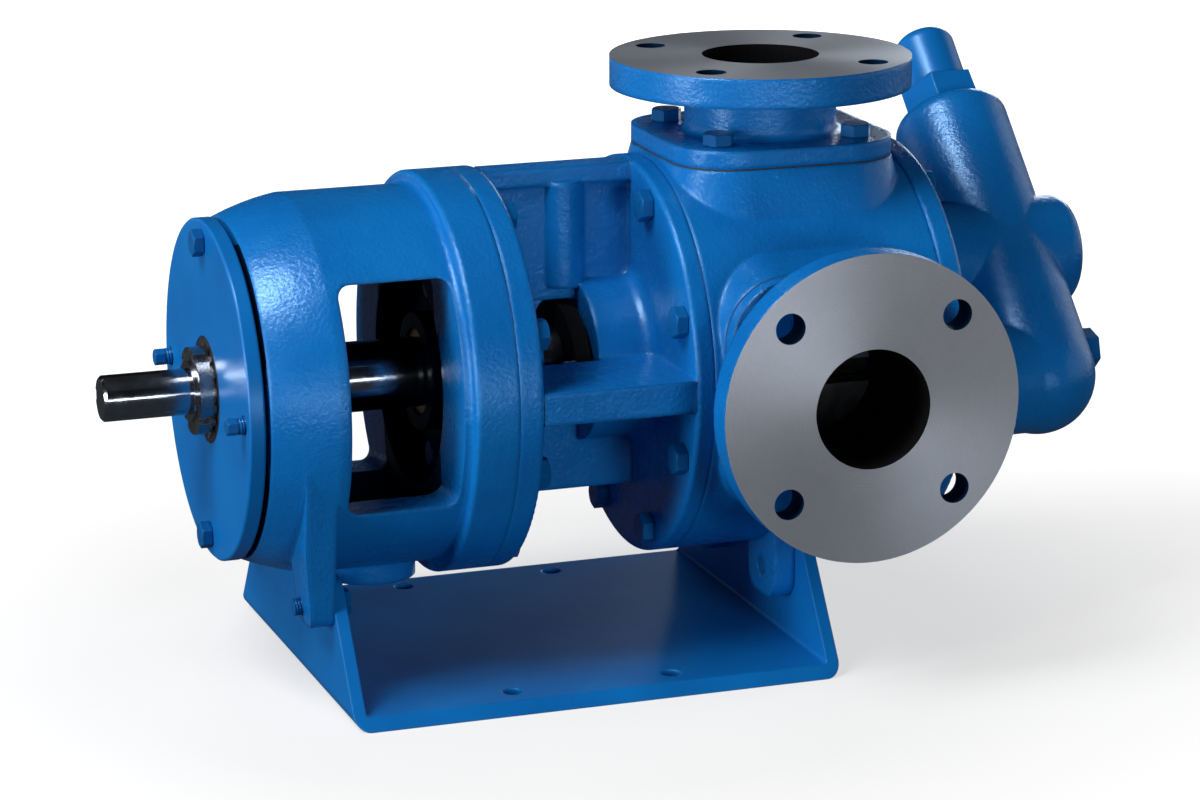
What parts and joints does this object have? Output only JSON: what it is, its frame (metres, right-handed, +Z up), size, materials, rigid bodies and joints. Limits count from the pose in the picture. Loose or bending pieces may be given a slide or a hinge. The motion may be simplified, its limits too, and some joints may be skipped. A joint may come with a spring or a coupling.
{
  "type": "internal gear pump",
  "caption": "Flanged internal gear pump with inclined relief valve, lantern bearing bracket, adapter and bent-plate base; shaft, idler, bearing cage and relief poppet move",
  "frame": {"origin": "centre of the base hole pattern, on the underside of the base plate", "axes": "+X along the shaft towards the head, +Y away from the side port, +Z up"},
  "size_m": [0.661, 0.357, 0.37],
  "materials": {
    "blue_paint": "glossy mid-blue enamel over sand-cast iron",
    "painted_fastener": "blue enamel over hexagon-head steel screws",
    "flange_casting": "blue enamel, with bare turned faces",
    "ground_steel": "ground and polished steel",
    "zinc_steel": "bright zinc-plated steel",
    "bearing_steel": "polished bearing steel",
    "brass": "pressed brass",
    "spring_steel": "oil-tempered spring steel",
    "machined_iron": "machined ductile iron",
    "bronze": "sintered bronze",
    "cast_iron": "bare grey iron",
    "packing": "braided graphite packing",
    "rubber": "moulded nitrile rubber",
    "gasket": "compressed fibre gasket"
  },
  "bodies": {
    "frame": {"base_plate": "blue_paint", "bearing_bracket": "blue_paint", "bushing_housing": "blue_paint", "bearing_carrier": "blue_paint", "adapter": "blue_paint", "casing": "blue_paint", "head": "blue_paint", "valve_body": "blue_paint", "valve_bonnet": "blue_paint", "valve_cap": "blue_paint", "housing_screws": "painted_fastener", "carrier_screws": "painted_fastener", "jack_screws": "painted_fastener", "bracket_bolts": "painted_fastener", "adapter_bolts": "painted_fastener", "head_bolts": "painted_fastener", "top_port_bolts": "painted_fastener", "side_port_bolts": "painted_fastener", "casing_foot_bolts": "painted_fastener", "bracket_foot_bolts": "painted_fastener", "valve_screws": "painted_fastener", "valve_drain_plug": "painted_fastener", "top_port_flange": "flange_casting", "side_port_flange": "flange_casting", "idler_pin": "ground_steel", "gland_studs": "zinc_steel", "bearing_outer_race": "bearing_steel", "relief_spring": "spring_steel", "shaft_bushing": "bronze", "packing_gland": "cast_iron", "packing_rings": "packing", "lip_seal": "rubber", "top_port_gasket": "gasket", "side_port_gasket": "gasket"},
    "rotating_shaft": {"shaft": "ground_steel", "shaft_collar": "ground_steel", "lockwasher": "zinc_steel", "locknut": "zinc_steel", "bearing_inner_race": "bearing_steel", "rotor": "machined_iron"},
    "idler": {"idler_gear": "machined_iron", "idler_bushing": "bronze"},
    "ball_cage": {"bearing_cage": "brass", "bearing_balls": "bearing_steel"},
    "relief_poppet": {"poppet": "ground_steel"},
    "adjuster": {"adjusting_screw": "ground_steel", "spring_seat": "zinc_steel"}
  },
  "joints": [
    {"name": "shaft_spin", "type": "hinge", "parent": "frame", "child": "rotating_shaft", "pos_m": [0.154, 0, 0.184], "axis": [1, 0, 0], "continuous": true},
    {"name": "idler_spin", "type": "hinge", "parent": "frame", "child": "idler", "pos_m": [0.154, -0.01697, 0.20097], "axis": [1, 0, 0], "continuous": true},
    {"name": "cage_spin", "type": "hinge", "parent": "frame", "child": "ball_cage", "pos_m": [-0.1815, 0, 0.184], "axis": [1, 0, 0], "continuous": true},
    {"name": "poppet_lift", "type": "slide", "parent": "frame", "child": "relief_poppet", "axis": [0, 0.7071, 0.7071], "range_m": [0, 0.012], "stiffness_N_per_m": 8000, "springref_m": -0.01, "deforming": ["relief_spring"]},
    {"name": "adjuster_travel", "type": "slide", "parent": "frame", "child": "adjuster", "axis": [0, 0.7071, 0.7071], "range_m": [-0.006, 0.006], "deforming": ["relief_spring"]}
  ],
  "couplings": [
    {"joint": "idler_spin", "follows": "shaft_spin", "ratio": 1.5},
    {"joint": "cage_spin", "follows": "shaft_spin", "ratio": 0.385}
  ]
}
